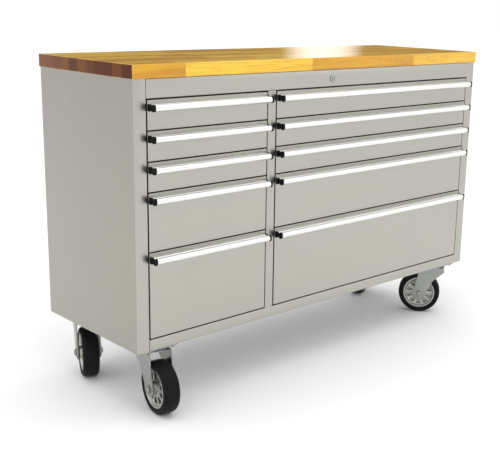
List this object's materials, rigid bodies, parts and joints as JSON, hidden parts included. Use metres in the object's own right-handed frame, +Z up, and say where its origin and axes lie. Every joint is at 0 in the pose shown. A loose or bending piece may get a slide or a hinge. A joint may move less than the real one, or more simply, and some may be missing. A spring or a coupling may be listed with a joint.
{
  "type": "rolling tool chest",
  "caption": "Wide rolling tool chest: stainless steel cabinet with full-width handled drawers in two columns, wooden worktop, lock and swivel casters.",
  "frame": {"origin": "on the floor under the middle of the bounding box", "axes": "+X to the right along the front, +Y from the drawer fronts towards the back, +Z up"},
  "size_m": [1.428, 0.5274, 0.9513],
  "materials": {
    "worktop_wood": "glossy clear varnish over strip-glued hardwood",
    "cabinet_steel": "satin stainless sheet",
    "drawer_steel": "satin stainless sheet",
    "handle_aluminium": "clear anodised extrusion",
    "lock_metal": "plated lock barrel",
    "caster_zinc": "bright zinc-plated pressed steel",
    "wheel_cast": "cast aluminium, turned rim",
    "tyre_rubber": "matt black rubber"
  },
  "bodies": {
    "cabinet": {"worktop": "worktop_wood", "side_panel_left": "cabinet_steel", "side_panel_right": "cabinet_steel", "back_panel": "cabinet_steel", "base_pan": "cabinet_steel", "top_rail": "cabinet_steel", "bottom_rail": "cabinet_steel", "rear_rail": "cabinet_steel", "inner_panel_left": "cabinet_steel", "inner_panel_right": "cabinet_steel", "centre_partition": "cabinet_steel", "lock_barrel": "lock_metal", "caster_plate_front_left": "caster_zinc", "caster_plate_rear_left": "caster_zinc", "caster_plate_front_right": "caster_zinc", "caster_plate_rear_right": "caster_zinc"},
    "lock": {"lock_plug": "lock_metal", "lock_cam": "caster_zinc"},
    "drawer_left_1": {"drawer_left_1": "drawer_steel", "handle_left_1": "handle_aluminium"},
    "drawer_left_2": {"drawer_left_2": "drawer_steel", "handle_left_2": "handle_aluminium"},
    "drawer_left_3": {"drawer_left_3": "drawer_steel", "handle_left_3": "handle_aluminium"},
    "drawer_left_4": {"drawer_left_4": "drawer_steel", "handle_left_4": "handle_aluminium"},
    "drawer_left_5": {"drawer_left_5": "drawer_steel", "handle_left_5": "handle_aluminium"},
    "drawer_right_1": {"drawer_right_1": "drawer_steel", "handle_right_1": "handle_aluminium"},
    "drawer_right_2": {"drawer_right_2": "drawer_steel", "handle_right_2": "handle_aluminium"},
    "drawer_right_3": {"drawer_right_3": "drawer_steel", "handle_right_3": "handle_aluminium"},
    "drawer_right_4": {"drawer_right_4": "drawer_steel", "handle_right_4": "handle_aluminium"},
    "drawer_right_5": {"drawer_right_5": "drawer_steel", "handle_right_5": "handle_aluminium"},
    "caster_front_left": {"caster_fork_front_left": "caster_zinc", "caster_axle_front_left": "caster_zinc"},
    "wheel_front_left": {"wheel_hub_front_left": "wheel_cast", "wheel_tyre_front_left": "tyre_rubber"},
    "caster_rear_left": {"caster_fork_rear_left": "caster_zinc", "caster_axle_rear_left": "caster_zinc"},
    "wheel_rear_left": {"wheel_hub_rear_left": "wheel_cast", "wheel_tyre_rear_left": "tyre_rubber"},
    "caster_front_right": {"caster_fork_front_right": "caster_zinc", "caster_axle_front_right": "caster_zinc"},
    "wheel_front_right": {"wheel_hub_front_right": "wheel_cast", "wheel_tyre_front_right": "tyre_rubber"},
    "caster_rear_right": {"caster_fork_rear_right": "caster_zinc", "caster_axle_rear_right": "caster_zinc"},
    "wheel_rear_right": {"wheel_hub_rear_right": "wheel_cast", "wheel_tyre_rear_right": "tyre_rubber"}
  },
  "joints": [
    {"name": "lock_turn", "type": "hinge", "parent": "cabinet", "child": "lock", "pos_m": [0.001, -0.19633, 0.888], "axis": [0, 1, 0], "range_deg": [0, 90]},
    {"name": "drawer_left_1_slide", "type": "slide", "parent": "cabinet", "child": "drawer_left_1", "axis": [0, -1, 0], "range_m": [0, 0.38]},
    {"name": "drawer_left_2_slide", "type": "slide", "parent": "cabinet", "child": "drawer_left_2", "axis": [0, -1, 0], "range_m": [0, 0.38]},
    {"name": "drawer_left_3_slide", "type": "slide", "parent": "cabinet", "child": "drawer_left_3", "axis": [0, -1, 0], "range_m": [0, 0.38]},
    {"name": "drawer_left_4_slide", "type": "slide", "parent": "cabinet", "child": "drawer_left_4", "axis": [0, -1, 0], "range_m": [0, 0.38]},
    {"name": "drawer_left_5_slide", "type": "slide", "parent": "cabinet", "child": "drawer_left_5", "axis": [0, -1, 0], "range_m": [0, 0.38]},
    {"name": "drawer_right_1_slide", "type": "slide", "parent": "cabinet", "child": "drawer_right_1", "axis": [0, -1, 0], "range_m": [0, 0.38]},
    {"name": "drawer_right_2_slide", "type": "slide", "parent": "cabinet", "child": "drawer_right_2", "axis": [0, -1, 0], "range_m": [0, 0.38]},
    {"name": "drawer_right_3_slide", "type": "slide", "parent": "cabinet", "child": "drawer_right_3", "axis": [0, -1, 0], "range_m": [0, 0.38]},
    {"name": "drawer_right_4_slide", "type": "slide", "parent": "cabinet", "child": "drawer_right_4", "axis": [0, -1, 0], "range_m": [0, 0.38]},
    {"name": "drawer_right_5_slide", "type": "slide", "parent": "cabinet", "child": "drawer_right_5", "axis": [0, -1, 0], "range_m": [0, 0.38]},
    {"name": "caster_front_left_swivel", "type": "hinge", "parent": "cabinet", "child": "caster_front_left", "pos_m": [-0.625, -0.14033, 0.17], "axis": [0, 0, 1], "continuous": true},
    {"name": "wheel_front_left_spin", "type": "hinge", "parent": "caster_front_left", "child": "wheel_front_left", "pos_m": [-0.63168, -0.18787, 0.075], "axis": [0.9903, -0.1392, 0], "continuous": true},
    {"name": "caster_rear_left_swivel", "type": "hinge", "parent": "cabinet", "child": "caster_rear_left", "pos_m": [-0.625, 0.20767, 0.17], "axis": [0, 0, 1], "continuous": true},
    {"name": "wheel_rear_left_spin", "type": "hinge", "parent": "caster_rear_left", "child": "wheel_rear_left", "pos_m": [-0.64452, 0.16382, 0.075], "axis": [0.9135, -0.4067, 0], "continuous": true},
    {"name": "caster_front_right_swivel", "type": "hinge", "parent": "cabinet", "child": "caster_front_right", "pos_m": [0.625, -0.14033, 0.17], "axis": [0, 0, 1], "continuous": true},
    {"name": "wheel_front_right_spin", "type": "hinge", "parent": "caster_front_right", "child": "wheel_front_right", "pos_m": [0.59679, -0.1015, 0.075], "axis": [-0.809, -0.5878, 0], "continuous": true},
    {"name": "caster_rear_right_swivel", "type": "hinge", "parent": "cabinet", "child": "caster_rear_right", "pos_m": [0.625, 0.20767, 0.17], "axis": [0, 0, 1], "continuous": true},
    {"name": "wheel_rear_right_spin", "type": "hinge", "parent": "caster_rear_right", "child": "wheel_rear_right", "pos_m": [0.5815, 0.18738, 0.075], "axis": [0.4226, -0.9063, 0], "continuous": true}
  ]
}
